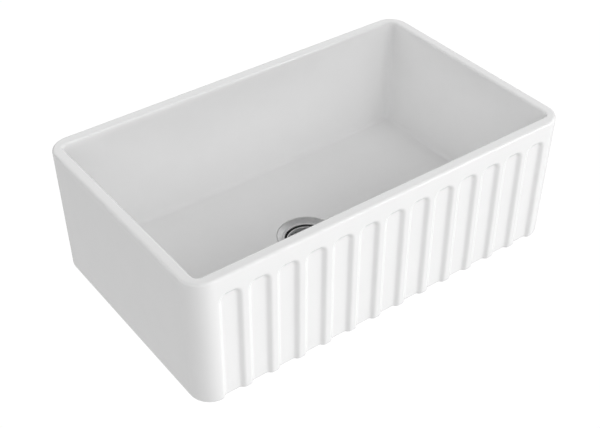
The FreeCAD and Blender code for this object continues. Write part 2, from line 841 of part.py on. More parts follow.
def make_stem_nut():
    """Hexagon nut on the stem under the washer."""
    body = new_body("stem_nut")
    top = "(%s - washer_thickness)" % WASHER_LEVEL
    sketch = new_sketch(body, "nut_outline", "XY_Plane", top)
    corner = "(nut_flats / sqrt(3))"
    half = "(nut_flats / 2)"
    draw_outline(sketch, [
        (corner, "0"),
        (corner + " / 2", half),
        ("-" + corner + " / 2", half),
        ("-" + corner, "0"),
        ("-" + corner + " / 2", "-" + half),
        (corner + " / 2", "-" + half),
    ])
    centre = FreeCAD.Vector(0.0, 0.0, 0.0)
    up = FreeCAD.Vector(0.0, 0.0, 1.0)
    bore = "stem_radius + thread_gap"
    hole = sketch.addGeometry(Part.Circle(centre, up, value(bore)), False)
    sketch.addConstraint(Sketcher.Constraint("Coincident", hole, 3, -1, 1))
    index = sketch.addConstraint(Sketcher.Constraint("Radius", hole, value(bore)))
    sketch.setExpression("Constraints[%d]" % index, text(bore))
    pad(body, "nut", sketch, "nut_height", downwards=True)
    return body


def make_knob():
    """Turned steel knob, waisted for finger and thumb, bored from below for the stem's neck."""
    body = new_body("knob")
    bore = "(neck_radius + thread_gap)"
    base = "(-knob_base)"
    revolve(body, "turning", [
        (bore, base),
        ("knob_waist", base),
        ("knob_waist", base + " + knob_height * knob_waist_share"),
        ("knob_radius", base + " + knob_height * knob_swell_share"),
        ("knob_radius", base + " + knob_height * knob_crown_share"),
        ("knob_radius * knob_crown_radius_share", base + " + knob_height"),
        ("0", base + " + knob_height"),
        ("0", base + " + knob_bore_depth"),
        (bore, base + " + knob_bore_depth"),
    ])
    return body


MAKERS = [
    make_basin,
    make_flange_gasket,
    make_strainer_flange,
    make_sink_gasket,
    make_waste_body,
    make_screw_insert,
    make_fixing_screw,
    make_screw_washer,
    make_basket_cup,
    make_rim_seal,
    make_stem,
    make_stem_ring,
    make_stem_washer,
    make_stem_nut,
    make_knob,
]


def check(parts):
    """Stop if any object failed to build, or a part is empty or not a sound solid."""
    for feature in document.Objects:
        for fault in ("Invalid", "Error"):
            if fault in feature.State:
                raise RuntimeError("%s did not build: %s" % (feature.Name, feature.getStatusString()))
    for part in parts:
        if part.Shape.isNull() or not part.Shape.isValid() or not part.Shape.Solids:
            raise RuntimeError("%s is not a sound solid" % part.Label)


parts = [maker() for maker in MAKERS]
document.recompute()
check(parts)
os.makedirs("parts", exist_ok=True)
for part in parts:
    part.Shape.exportStep("parts/%s.step" % part.Label)
    print("%-16s %10.1f mm3  %d faces" % (part.Label, part.Shape.Volume, len(part.Shape.Faces)))
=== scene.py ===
import math

import bpy
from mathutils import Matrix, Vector


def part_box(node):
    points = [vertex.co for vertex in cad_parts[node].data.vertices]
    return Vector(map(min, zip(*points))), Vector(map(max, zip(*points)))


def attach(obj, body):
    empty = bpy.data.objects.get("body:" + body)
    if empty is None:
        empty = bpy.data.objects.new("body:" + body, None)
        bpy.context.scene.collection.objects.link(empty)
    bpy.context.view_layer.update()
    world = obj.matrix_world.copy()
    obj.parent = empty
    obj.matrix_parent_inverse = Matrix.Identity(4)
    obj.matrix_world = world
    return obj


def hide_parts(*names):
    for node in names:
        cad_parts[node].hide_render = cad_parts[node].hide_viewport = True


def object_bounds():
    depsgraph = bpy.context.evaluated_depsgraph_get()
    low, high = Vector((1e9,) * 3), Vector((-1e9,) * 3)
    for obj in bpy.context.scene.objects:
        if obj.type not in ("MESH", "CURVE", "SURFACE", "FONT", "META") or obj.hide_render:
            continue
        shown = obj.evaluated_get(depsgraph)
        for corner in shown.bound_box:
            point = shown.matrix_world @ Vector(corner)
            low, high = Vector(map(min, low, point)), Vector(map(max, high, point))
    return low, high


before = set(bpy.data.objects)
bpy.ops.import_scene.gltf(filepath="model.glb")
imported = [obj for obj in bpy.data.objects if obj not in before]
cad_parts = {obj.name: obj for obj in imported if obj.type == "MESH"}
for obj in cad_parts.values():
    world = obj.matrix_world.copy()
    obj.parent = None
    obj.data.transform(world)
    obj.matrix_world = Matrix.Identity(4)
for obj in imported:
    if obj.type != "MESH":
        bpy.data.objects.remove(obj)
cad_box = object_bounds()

# A fluted apron-front kitchen sink of white glazed fireclay, seen from above its left front corner, with
# its basket strainer waste. The script goes as the sink is put together: view and studio, basin, flange
# and gaskets, waste body and screw, basket, stem and knob. Lengths are in metres, written as
# millimetres times MM.

MM = 0.001
DRAIN_X = (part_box("knob")[0][0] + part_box("knob")[1][0]) / 2.0
DRAIN_Y = (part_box("knob")[0][1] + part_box("knob")[1][1]) / 2.0

# ---------------------------------------------------------------------------------------------------
# View. The camera stands above the left front corner and looks down across the apron into the bowl.

EYE = (-0.95193, -1.24882, 1.30047)
EYE_TILT = (51.897, -0.116, -36.653)
EYE_LENS = 66.93
FILM_WIDTH = 36.0

camera_data = bpy.data.cameras.new("camera")
camera_data.lens = EYE_LENS
camera_data.sensor_width = FILM_WIDTH
camera_data.clip_start = 0.05
camera = bpy.data.objects.new("camera", camera_data)
bpy.context.scene.collection.objects.link(camera)
camera.location = EYE
camera.rotation_euler = [math.radians(angle) for angle in EYE_TILT]
bpy.context.scene.camera = camera

# ---------------------------------------------------------------------------------------------------
# Studio. A white lit floor, as of a photographer's light table, in a pale tent that is brightest half
# way up. A long low strip stands to the right of the apron and models the flutes from the side.


def linear(hex_colour):
    """The linear colour of an sRGB hex value."""
    channels = [int(hex_colour[first:first + 2], 16) / 255.0 for first in (1, 3, 5)]
    bent = [c / 12.92 if c <= 0.04045 else ((c + 0.055) / 1.055) ** 2.4 for c in channels]
    return (bent[0], bent[1], bent[2], 1.0)


def add_node(tree, kind, settings=None, sockets=None, links=None):
    """A node with its settings, its sockets' values and its incoming links, each from a node's output."""
    node = tree.nodes.new(kind)
    for name, setting in (settings or {}).items():
        setattr(node, name, setting)
    for name, number in (sockets or {}).items():
        node.inputs[name].default_value = number
    for name, (source, output) in (links or {}).items():
        tree.links.new(source.outputs[output], node.inputs[name])
    return node


def ramp(tree, source, output, stops):
    """A colour ramp driven by a node's output, its stops pairs of a place and a colour."""
    node = add_node(tree, "ShaderNodeValToRGB", links={"Fac": (source, output)})
    while len(node.color_ramp.elements) < len(stops):
        node.color_ramp.elements.new(0.5)
    for element, (place, colour) in zip(node.color_ramp.elements, stops):
        element.position = place
        element.color = colour
    return node


FLOOR_GAP = 1.0 * MM
FLOOR_SIZE = 12.0
FLOOR_GLOW = 1.02
BOUNCE_GLOW = 0.6
SKY_GLOW = 1.4

world = bpy.data.worlds.new("studio")
bpy.context.scene.world = world
world.use_nodes = True
sky = world.node_tree
sky.nodes.clear()
sky_path = add_node(sky, "ShaderNodeLightPath")
sky_place = add_node(sky, "ShaderNodeTexCoord")
sky_height = add_node(sky, "ShaderNodeSeparateXYZ", links={"Vector": (sky_place, "Generated")})
sky_belt = ramp(sky, sky_height, "Z", [
    (0.0, linear("#202020")), (0.2, linear("#202020")), (0.3, linear("#F8F8F8")),
    (0.6, linear("#F8F8F8")), (0.7, linear("#8B8B8B"))])
sky_lit = add_node(
    sky, "ShaderNodeBackground", sockets={"Strength": SKY_GLOW}, links={"Color": (sky_belt, "Color")})
sky_seen = add_node(sky, "ShaderNodeBackground", sockets={"Color": linear("#FFFFFF"), "Strength": FLOOR_GLOW})
sky_mix = add_node(sky, "ShaderNodeMixShader", links={
    0: (sky_path, "Is Camera Ray"), 1: (sky_lit, "Background"), 2: (sky_seen, "Background")})
add_node(sky, "ShaderNodeOutputWorld", links={"Surface": (sky_mix, "Shader")})

light_table = bpy.data.materials.new("light_table")
light_table.use_nodes = True
table_tree = light_table.node_tree
table_tree.nodes.clear()
table_path = add_node(table_tree, "ShaderNodeLightPath")
table_side = add_node(table_tree, "ShaderNodeNewGeometry")
table_seen = add_node(table_tree, "ShaderNodeEmission", sockets={"Strength": FLOOR_GLOW})
table_lit = add_node(table_tree, "ShaderNodeEmission", sockets={"Strength": BOUNCE_GLOW})
table_clear = add_node(table_tree, "ShaderNodeBsdfTransparent")
table_glow = add_node(table_tree, "ShaderNodeMixShader", links={
    0: (table_path, "Is Camera Ray"), 1: (table_lit, "Emission"), 2: (table_seen, "Emission")})
table_mix = add_node(table_tree, "ShaderNodeMixShader", links={
    0: (table_side, "Backfacing"), 1: (table_glow, "Shader"), 2: (table_clear, "BSDF")})
add_node(table_tree, "ShaderNodeOutputMaterial", links={"Surface": (table_mix, "Shader")})

bpy.ops.object.select_all(action="DESELECT")
bpy.ops.mesh.primitive_plane_add(size=FLOOR_SIZE, location=(0.0, 0.0, cad_box[0][2] - FLOOR_GAP))
studio_floor = bpy.context.object
studio_floor.name = "studio_floor"
studio_floor.data.materials.append(light_table)

SOFT_BOXES = [
    # name, place, aimed at, width, height, watts
    ("low_strip", (12.61, -9.85, 0.3), (0.0, 0.0, 0.12), 14.8, 0.56, 1340.0),
    ("high_box", (0.93, -5.28, 4.62), (0.0, 0.0, 0.12), 2.6, 2.6, 72.0),
]
for name, place, aim, width, height, watts in SOFT_BOXES:
    lamp = bpy.data.lights.new(name, "AREA")
    lamp.shape = "RECTANGLE"
    lamp.size = width
    lamp.size_y = height
    lamp.energy = watts
    box = bpy.data.objects.new(name, lamp)
    bpy.context.scene.collection.objects.link(box)
    box.location = place
    box.rotation_euler = (Vector(aim) - Vector(place)).to_track_quat("-Z", "Y").to_euler()

bpy.context.scene.view_settings.view_transform = "Standard"

# ---------------------------------------------------------------------------------------------------
# Basin. One hollow casting of fireclay, sprayed with a thick white glaze and fired once, so that every
# edge is soft. Thirteen flutes in the apron end in arches under the rim and run out at the foot, and the
# floor falls to a dished seat for the waste. The glaze is wiped from the foot, where the clay shows.

WIDTH = 760.0
DEPTH = 455.0
HEIGHT = 250.0
END_TAPER = 6.0
CORNER = 38.0
BASE_EDGE = 8.0
FOOT_MARGIN = 2.0
RIM_WIDTH = 20.0
RIM_OUTER_EDGE = 5.0
RIM_INNER_EDGE = 4.0
BOWL_CORNER = 11.0
BOWL_DRAFT = 1.5
BOWL_FLOOR_EDGE = 8.0
BOWL_FOOT = 28.0
DRAIN_LEVEL = 17.0
FLOOR_SLOPE = 0.033
SEAT_RADIUS = 55.5
SEAT_STEP = 2.6
SEAT_SLOPE = 0.52
SEAT_EDGE = 1.2
SEAT_TOE = 0.6
HOLE_RADIUS = 45.0
HOLE_LIP = 1.0
RECESS_RADIUS = 64.0
RECESS_DEPTH = 3.0
RECESS_EDGE = 0.8

SEAM = 0.001
FLUTES = 13
FLUTE_PITCH = 52.4
FLUTE_HALF = 22.5
FLUTE_SWING = 10.5
ARCH_SWING = 14.5
CROWN_SHARPNESS = 8
ARCH_FLAT = 3.0
FLUTE_DEPTH = 5.5
ARCH_LEVEL = 202.4
ARCH_FOOT = 198.0
ARCH_HEAD = 224.0
FLUTED_HALF = FLUTES * FLUTE_PITCH / 2.0

FRONT_STEPS = 169
CORNER_STEPS = 12
END_STEPS = 24
BACK_STEPS = 34
EDGE_STEPS = 8
ARCH_STEPS = 26
WALL_STEPS = 8
FLOOR_STEPS = 14
QUARTER = math.pi / 2.0
drain_x = DRAIN_X / MM
drain_y = DRAIN_Y / MM


def flute_depth(x, z):
    """How deep the apron is cut at x and z: a flute with an arched head, its sides two equal arcs, which
    are drawn out towards the crown of the arch."""
    number = max(-(FLUTES // 2), min(FLUTES // 2, round(x / FLUTE_PITCH)))
    aside = max(0.0, abs(x - number * FLUTE_PITCH) - ARCH_FLAT)
    above = max(0.0, z - ARCH_LEVEL)
    away = math.hypot(aside, above)
    swing = FLUTE_SWING + (ARCH_SWING - FLUTE_SWING) * (above / max(away, SEAM)) ** CROWN_SHARPNESS
    radius = (swing ** 2 + FLUTE_DEPTH ** 2) / (4.0 * FLUTE_DEPTH)
    rise = min(max(away + ARCH_FLAT + swing - FLUTE_HALF, 0.0), swing)
    if rise < swing / 2.0:
        return FLUTE_DEPTH - radius + math.sqrt(radius ** 2 - rise ** 2)
    return radius - math.sqrt(radius ** 2 - (swing - rise) ** 2)


def ring(half_width, half_depth, corner):
    """Points round a rounded rectangle, from the middle of its front by its right end. Those of the
    fluted front stand at the same x in every ring, so that the flutes stay upright."""
    straight = half_width - corner
    side = half_depth - corner
    right = []
    for step in range(FRONT_STEPS + 1):
        x = FLUTED_HALF * step / FRONT_STEPS
        right.append((x, -side - math.sqrt(corner ** 2 - max(0.0, x - straight) ** 2)))
    first = math.asin(max(0.0, FLUTED_HALF - straight) / corner)
    for step in range(1, CORNER_STEPS + 1):
        angle = first + (QUARTER - first) * step / CORNER_STEPS
        right.append((straight + corner * math.sin(angle), -side - corner * math.cos(angle)))
    for step in range(1, END_STEPS):
        right.append((half_width, side * (2.0 * step / END_STEPS - 1.0)))
    for step in range(CORNER_STEPS + 1):
        angle = QUARTER * step / CORNER_STEPS
        right.append((straight + corner * math.cos(angle), side + corner * math.sin(angle)))
    for step in range(1, BACK_STEPS + 1):
        right.append((straight * (1.0 - step / BACK_STEPS), half_depth))
    return right + [(-x, y) for x, y in right[-2:0:-1]]


def outer_ring(level, inset, has_flutes=True):
    """A ring of the outside of the basin, with the flutes pressed into its front."""
    half_width = WIDTH / 2.0 - END_TAPER * (1.0 - level / HEIGHT) - inset
    placed = []
    for x, y in ring(half_width, DEPTH / 2.0 - inset, CORNER - inset):
        fluted = has_flutes and y < 0.0 and abs(x) < FLUTED_HALF
        placed.append((x, y + flute_depth(x, level) if fluted else y, level))
    return placed


def bowl_outline(level, outset):
    """The outline of the bowl's drafted wall at a level, let out into the rim or drawn in over the floor."""
    drawn_in = BOWL_DRAFT * (HEIGHT - level) / (HEIGHT - RECESS_DEPTH) - outset
    half_width = WIDTH / 2.0 - RIM_WIDTH - drawn_in
    half_depth = DEPTH / 2.0 - RIM_WIDTH - drawn_in
    return ring(half_width, half_depth, BOWL_CORNER - drawn_in)


def bowl_ring(level, outset=0.0):
    return [(x, y, level) for x, y in bowl_outline(level, outset)]


def floor_level(x, y):
    """Height of the bowl's floor, which falls to the drain as a flat cone."""
    return DRAIN_LEVEL + FLOOR_SLOPE * (math.hypot(x - drain_x, y - drain_y) - SEAT_RADIUS)


def seat_level(radius):
    """Height of the dished seat under the waste's flange."""
    return DRAIN_LEVEL - SEAT_STEP - SEAT_SLOPE * (SEAT_RADIUS - radius)


def drain_ring(radius, level, like):
    """A circle about the drain, each point in the direction of its neighbour in the ring like."""
    circle = []
    for place in like:
        turn = math.atan2(place[1] - drain_y, place[0] - drain_x)
        circle.append((drain_x + radius * math.cos(turn), drain_y + radius * math.sin(turn), level))
    return circle


def between(first, last, share):
    """The ring that lies a share of the way from the first ring to the last."""
    return [tuple(a + (b - a) * share for a, b in zip(start, end)) for start, end in zip(first, last)]


def arc(centre, radius, start, stop, steps=EDGE_STEPS):
    """Points, each a distance out and a height, on an arc between two angles in quarters of a turn."""
    turns = [QUARTER * (start + (stop - start) * step / steps) for step in range(steps + 1)]
    return [(centre[0] + radius * math.cos(turn), centre[1] + radius * math.sin(turn)) for turn in turns]


foot = outer_ring(0.0, BASE_EDGE)
flat_foot = outer_ring(0.0, BASE_EDGE + FLUTE_DEPTH + FOOT_MARGIN, has_flutes=False)
rings = [drain_ring(radius, level, flat_foot) for radius, level in (
    arc((HOLE_RADIUS + RECESS_EDGE, RECESS_DEPTH + RECESS_EDGE), RECESS_EDGE, 2, 3, 3)
    + arc((RECESS_RADIUS - RECESS_EDGE, RECESS_DEPTH - RECESS_EDGE), RECESS_EDGE, 1, 0, 3)
    + arc((RECESS_RADIUS + RECESS_EDGE, RECESS_EDGE), RECESS_EDGE, 2, 3, 3)
)]
underside = rings[-1]
rings += [between(underside, flat_foot, share) for share in (0.04, 0.2, 0.4, 0.6, 0.8, 1.0)]
rings += [between(flat_foot, foot, 0.8)]
rings += [outer_ring(BASE_EDGE + up, BASE_EDGE - out)
          for out, up in arc((0.0, 0.0), BASE_EDGE, 3, 4)]
levels = [30.0, 60.0, 90.0, 120.0, 150.0, 175.0]
levels += [ARCH_FOOT + (ARCH_HEAD - ARCH_FOOT) * step / ARCH_STEPS for step in range(ARCH_STEPS + 1)]
levels += [236.0]
rings += [outer_ring(level, 0.0) for level in levels]
shoulder = HEIGHT - RIM_OUTER_EDGE
rings += [outer_ring(shoulder + up, RIM_OUTER_EDGE - out)
          for out, up in arc((0.0, 0.0), RIM_OUTER_EDGE, 0, 1)]
lip = bowl_ring(HEIGHT, RIM_INNER_EDGE)
rings += [between(rings[-1], lip, share) for share in (0.15, 0.5, 0.85)]
shoulder = HEIGHT - RIM_INNER_EDGE
rings += [bowl_ring(shoulder + up, RIM_INNER_EDGE + out)
          for out, up in arc((0.0, 0.0), RIM_INNER_EDGE, 1, 2)]
wall_head = rings[-1]
wall_foot = [(x, y, floor_level(x, y) + BOWL_FLOOR_EDGE) for x, y in bowl_outline(BOWL_FOOT, 0.0)]
rings += [between(wall_head, wall_foot, step / WALL_STEPS) for step in range(1, WALL_STEPS)]
for out, up in arc((0.0, 0.0), BOWL_FLOOR_EDGE, 4, 3):
    outline = bowl_outline(BOWL_FOOT, out - BOWL_FLOOR_EDGE)
    rings.append([(x, y, floor_level(x, y) + BOWL_FLOOR_EDGE + up) for x, y in outline])
floor_edge = rings[-1]
for step in range(1, FLOOR_STEPS):
    flat = between(floor_edge, drain_ring(SEAT_RADIUS + SEAT_EDGE, 0.0, floor_edge), step / FLOOR_STEPS)
    rings.append([(x, y, floor_level(x, y)) for x, y, level in flat])
seat_foot = HOLE_RADIUS + HOLE_LIP
rings += [drain_ring(radius, level, floor_edge) for radius, level in (
    arc((SEAT_RADIUS + SEAT_EDGE, DRAIN_LEVEL - SEAT_EDGE), SEAT_EDGE, 1, 2, 5)
    + arc((SEAT_RADIUS - SEAT_TOE, seat_level(SEAT_RADIUS) + SEAT_TOE), SEAT_TOE, 4, 3.3, 3)
    + [((SEAT_RADIUS + seat_foot) / 2.0, seat_level((SEAT_RADIUS + seat_foot) / 2.0))]
    + arc((seat_foot, seat_level(seat_foot) - HOLE_LIP), HOLE_LIP, 1.3, 2, 4)
)]

bpy.ops.object.select_all(action="DESELECT")
bpy.ops.mesh.primitive_grid_add(x_subdivisions=len(foot), y_subdivisions=len(rings), size=1.0)
basin = bpy.context.object
basin.name = "fireclay_basin"
basin.data.vertices.foreach_set(
    "co", [length * MM for row in rings + rings[:1] for place in row + row[:1] for length in place])
bpy.ops.object.mode_set(mode="EDIT")
bpy.ops.mesh.select_all(action="SELECT")
bpy.ops.mesh.remove_doubles(threshold=SEAM * MM)
bpy.ops.mesh.normals_make_consistent(inside=False)
bpy.ops.object.mode_set(mode="OBJECT")
bpy.ops.object.shade_smooth()

# Glazed fireclay: a thick white glaze over buff clay. It gives deep soft gloss with a faint ripple, and
# bare matt clay with fine grog at the wiped foot.
GLAZE_RIPPLE = 42.0
GLAZE_GRAIN = 1.6
GROG = 0.9
GLAZE_LINE = 0.9


def new_material(name):
    """A material with an empty surface shader, its node tree and that shader."""
    material = bpy.data.materials.new(name)
    material.use_nodes = True
    tree = material.node_tree
    return material, tree, tree.nodes["Principled BSDF"]


glaze, tree, surface = new_material("glazed_fireclay")
place = add_node(tree, "ShaderNodeTexCoord")
ripple = add_node(
    tree, "ShaderNodeTexNoise", sockets={"Scale": 1.0 / (GLAZE_RIPPLE * MM), "Detail": 1.0},
    links={"Vector": (place, "Object")})
grain = add_node(
    tree, "ShaderNodeTexNoise", sockets={"Scale": 1.0 / (GLAZE_GRAIN * MM), "Detail": 2.0},
    links={"Vector": (place, "Object")})
grog = add_node(
    tree, "ShaderNodeTexNoise", sockets={"Scale": 1.0 / (GROG * MM), "Detail": 4.0, "Roughness": 0.7},
    links={"Vector": (place, "Object")})
white = ramp(tree, ripple, "Fac", [(0.3, linear("#F4F4F4")), (0.7, linear("#F5F5F5"))])
clay = ramp(tree, grog, "Fac", [
    (0.35, linear("#CFC2AE")), (0.5, linear("#DDD2C0")), (0.68, linear("#B9A88F"))])
height = add_node(tree, "ShaderNodeSeparateXYZ", links={"Vector": (place, "Object")})
wiped = add_node(
    tree, "ShaderNodeMath", settings={"operation": "MULTIPLY_ADD"},
    sockets={1: 1.2 * MM}, links={0: (ripple, "Fac"), 2: (height, "Z")})
glazed = add_node(
    tree, "ShaderNodeMapRange", settings={"interpolation_type": "SMOOTHSTEP"},
    sockets={"From Min": GLAZE_LINE * MM, "From Max": (GLAZE_LINE + 0.5) * MM},
    links={"Value": (wiped, "Value")})
coloured = add_node(
    tree, "ShaderNodeMix", settings={"data_type": "RGBA"},
    links={"Factor": (glazed, "Result"), 6: (clay, "Color"), 7: (white, "Color")})
gloss = add_node(
    tree, "ShaderNodeMapRange", sockets={"To Min": 0.1, "To Max": 0.16}, links={"Value": (ripple, "Fac")})
matt = add_node(
    tree, "ShaderNodeMix", settings={"data_type": "FLOAT"}, sockets={"A": 0.85},
    links={"Factor": (glazed, "Result"), "B": (gloss, "Result")})
rippled = add_node(
    tree, "ShaderNodeBump", sockets={"Strength": 0.25, "Distance": 0.06 * MM},
    links={"Height": (ripple, "Fac")})
peel = add_node(
    tree, "ShaderNodeBump", sockets={"Strength": 0.15, "Distance": 0.008 * MM},
    links={"Height": (grain, "Fac"), "Normal": (rippled, "Normal")})
tree.links.new(coloured.outputs[2], surface.inputs["Base Color"])
tree.links.new(matt.outputs[0], surface.inputs["Roughness"])
tree.links.new(peel.outputs["Normal"], surface.inputs["Normal"])
surface.inputs["IOR"].default_value = 1.5
basin.data.materials.append(glaze)
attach(basin, "root")
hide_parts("basin")

# ---------------------------------------------------------------------------------------------------
# Flange gasket. A flat ring stamped from closed-cell foam, which beds the flange on the dished seat.

SHEET = 1.0
EDGE_GAP = 0.8
FLANGE_BED = 1.5
FLANGE_RADIUS = SEAT_RADIUS - EDGE_GAP
TURN_STEPS = 128
SMALL_TURN_STEPS = 64
CORNER_ARC = 5
SMOOTH_ANGLE = math.radians(32.0)


def outline(corners):
    """The half section of a turned piece. Each corner is a radius, a height and the radius it's eased to."""
    eased = []
    for number, (radius, level, easing) in enumerate(corners):
        corner = Vector((radius, level))
        if not easing:
            eased.append(corner)
            continue
        before = (Vector(corners[number - 1][:2]) - corner).normalized()
        after = (Vector(corners[(number + 1) % len(corners)][:2]) - corner).normalized()
        half = before.angle(after) / 2.0
        centre = corner + (before + after).normalized() * (easing / math.sin(half))
        start = (corner + before * (easing / math.tan(half)) - centre).normalized()
        stop = (corner + after * (easing / math.tan(half)) - centre).normalized()
        eased += [centre + start.slerp(stop, step / CORNER_ARC) * easing for step in range(CORNER_ARC + 1)]
    return eased


def select_only(piece):
    bpy.ops.object.select_all(action="DESELECT")
    piece.select_set(True)
    bpy.context.view_layer.objects.active = piece


def close_mesh(piece):
    """Merges the seams of a piece, turns its faces outwards and shades it."""
    select_only(piece)
    bpy.ops.object.mode_set(mode="EDIT")
    bpy.ops.mesh.select_all(action="SELECT")
    bpy.ops.mesh.remove_doubles(threshold=SEAM * MM)
    bpy.ops.mesh.delete_loose()
    bpy.ops.mesh.select_all(action="SELECT")
    bpy.ops.mesh.normals_make_consistent(inside=False)
    bpy.ops.object.mode_set(mode="OBJECT")
    bpy.ops.object.shade_smooth_by_angle(angle=SMOOTH_ANGLE)


def turned(name, corners, turn=360.0, steps=TURN_STEPS):
    """A piece of revolution: its half section, spun about the drain axis."""
    section = outline(corners)
    bpy.ops.object.select_all(action="DESELECT")
    bpy.ops.mesh.primitive_circle_add(vertices=len(section), fill_type="NOTHING")
    piece = bpy.context.object
    piece.name = name
    for vertex, (radius, level) in zip(piece.data.vertices, section):
        vertex.co = (DRAIN_X + radius * MM, DRAIN_Y, level * MM)
    bpy.ops.object.mode_set(mode="EDIT")
    bpy.ops.mesh.select_all(action="SELECT")
    bpy.ops.mesh.spin(
        steps=steps, angle=math.radians(turn), center=(DRAIN_X, DRAIN_Y, 0.0), axis=(0.0, 0.0, 1.0))
    bpy.ops.object.mode_set(mode="OBJECT")
    close_mesh(piece)
    return piece


def fit_out(piece, body, node, material):
    """Gives a piece its material and its place in the frame."""
    piece.data.materials.clear()
    piece.data.materials.append(material)
    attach(piece, body)
    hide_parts(node)


gasket_inner = HOLE_RADIUS + HOLE_LIP + 0.5
gasket_outer = FLANGE_RADIUS - 0.5
flange_gasket = turned("foam_flange_gasket", [
    (gasket_inner, seat_level(gasket_inner), 0.2),
    (gasket_outer, seat_level(gasket_outer), 0.2),
    (gasket_outer, seat_level(gasket_outer) + FLANGE_BED, 0.3),
    (gasket_inner, seat_level(gasket_inner) + FLANGE_BED, 0.3),
])

# White polyethylene foam, sliced from a block. The cut cells leave it matt and finely pitted.
CELL = 0.6

foam, tree, surface = new_material("white_foam")
place = add_node(tree, "ShaderNodeTexCoord")
cells = add_node(
    tree, "ShaderNodeTexVoronoi", sockets={"Scale": 1.0 / (CELL * MM)}, links={"Vector": (place, "Object")})
# Painted shade: the colour darkens towards each cell's middle, where the bump sinks a pit.
pale_with_painted_pit_shade = ramp(tree, cells, "Distance", [(0.1, linear("#DEDEDA")), (0.6, linear("#F0F0EC"))])
pits = add_node(
    tree, "ShaderNodeBump", sockets={"Strength": 0.5, "Distance": 0.1 * MM},
    links={"Height": (cells, "Distance")})
tree.links.new(pale_with_painted_pit_shade.outputs["Color"], surface.inputs["Base Color"])
tree.links.new(pits.outputs["Normal"], surface.inputs["Normal"])
surface.inputs["Roughness"].default_value = 0.9
fit_out(flange_gasket, "root", "flange_gasket", foam)

# ---------------------------------------------------------------------------------------------------
# Strainer flange. One deep pressing from stainless sheet: a dished flange that lies in the fireclay's
# seat, a step to a flat ledge, a straight throat, and a cup floor with six round water slots.

THROAT_RADIUS = 41.0
LEDGE_RADIUS = 45.3
LEDGE_LEVEL = 10.7
STEP_LEAN = 0.3
CUP_DROP = 30.0
CUP_BEND = 5.0
SLOT_RADIUS = 8.0
SLOT_CIRCLE = 25.0
SLOTS = 6
SLOT_DRILL = 4.0
SLOT_SIDES = 40
SCREW_HOLE = 6.6


def cut(piece, cutter, operation="DIFFERENCE"):
    """Cuts a piece with another one, which is used up."""
    select_only(piece)
    modifier = piece.modifiers.new("cut", "BOOLEAN")
    modifier.operation = operation
    modifier.solver = "EXACT"
    modifier.object = cutter
    bpy.ops.object.modifier_apply(modifier=modifier.name)
    bpy.data.objects.remove(cutter)
    close_mesh(piece)


def repeat_round(piece, copies, turn=360.0):
    """Copies a piece about the drain axis, as one mesh."""
    select_only(piece)
    bpy.ops.object.mode_set(mode="EDIT")
    bpy.ops.mesh.select_all(action="SELECT")
    bpy.ops.mesh.spin(
        steps=copies - 1, dupli=True, angle=math.radians(turn) * (copies - 1) / copies,
        center=(DRAIN_X, DRAIN_Y, 0.0), axis=(0.0, 0.0, 1.0))
    bpy.ops.object.mode_set(mode="OBJECT")


def drills(places, copies, radius, length, sides):
    """Round cutters, each given by its place and tilt, repeated round the drain axis."""
    bpy.ops.object.select_all(action="DESELECT")
    made = []
    for (x, y, z), tilt in places:
        bpy.ops.mesh.primitive_cylinder_add(
            vertices=sides, radius=radius * MM, depth=length * MM,
            location=(DRAIN_X + x * MM, DRAIN_Y + y * MM, z * MM), rotation=tilt)
        made.append(bpy.context.object)
    for drill in made:
        drill.select_set(True)
    if len(made) > 1:
        bpy.ops.object.join()
    bpy.ops.object.transform_apply(location=True, rotation=True, scale=True)
    repeat_round(bpy.context.object, copies)
    return bpy.context.object


# Known fault: the two easings at the rim take 1.17 mm of an edge that is 1 mm long, so the outline
# crosses itself there. close_mesh then turns the faces inwards, and the cut leaves six solid discs in
# place of the slots. Easings of 0.2 and 0.4 at the rim put both right.
step_radius = LEDGE_RADIUS + STEP_LEAN
flange = turned("pressed_strainer_flange", [
    (FLANGE_RADIUS, seat_level(FLANGE_RADIUS) + FLANGE_BED, 0.3),
    (FLANGE_RADIUS, seat_level(FLANGE_RADIUS) + FLANGE_BED + SHEET, 0.6),
    (step_radius, seat_level(step_radius) + FLANGE_BED + SHEET, 0.5),
    (LEDGE_RADIUS, LEDGE_LEVEL, 0.35),
    (THROAT_RADIUS, LEDGE_LEVEL, 0.8),
    (THROAT_RADIUS, -CUP_DROP, CUP_BEND),
    (SCREW_HOLE, -CUP_DROP, 0.2),
    (SCREW_HOLE, -CUP_DROP - SHEET, 0.2),
    (THROAT_RADIUS + SHEET, -CUP_DROP - SHEET, CUP_BEND + SHEET),
    (THROAT_RADIUS + SHEET, LEDGE_LEVEL - SHEET, 0.4),
    (LEDGE_RADIUS + 0.9, LEDGE_LEVEL - SHEET, 0.3),
    (step_radius + 0.8, seat_level(step_radius + 0.8) + FLANGE_BED, 0.5),
])
slot_place = ((SLOT_CIRCLE, 0.0, -CUP_DROP), (0.0, 0.0, 0.0))
cut(flange, drills([slot_place], SLOTS, SLOT_RADIUS, SLOT_DRILL, SLOT_SIDES))

# Stainless steel sheet, pressed and polished on a wheel. It mirrors the bowl softly, with faint rings
# left by the polishing.
RING_PITCH = 0.35
SMEAR = 9.0


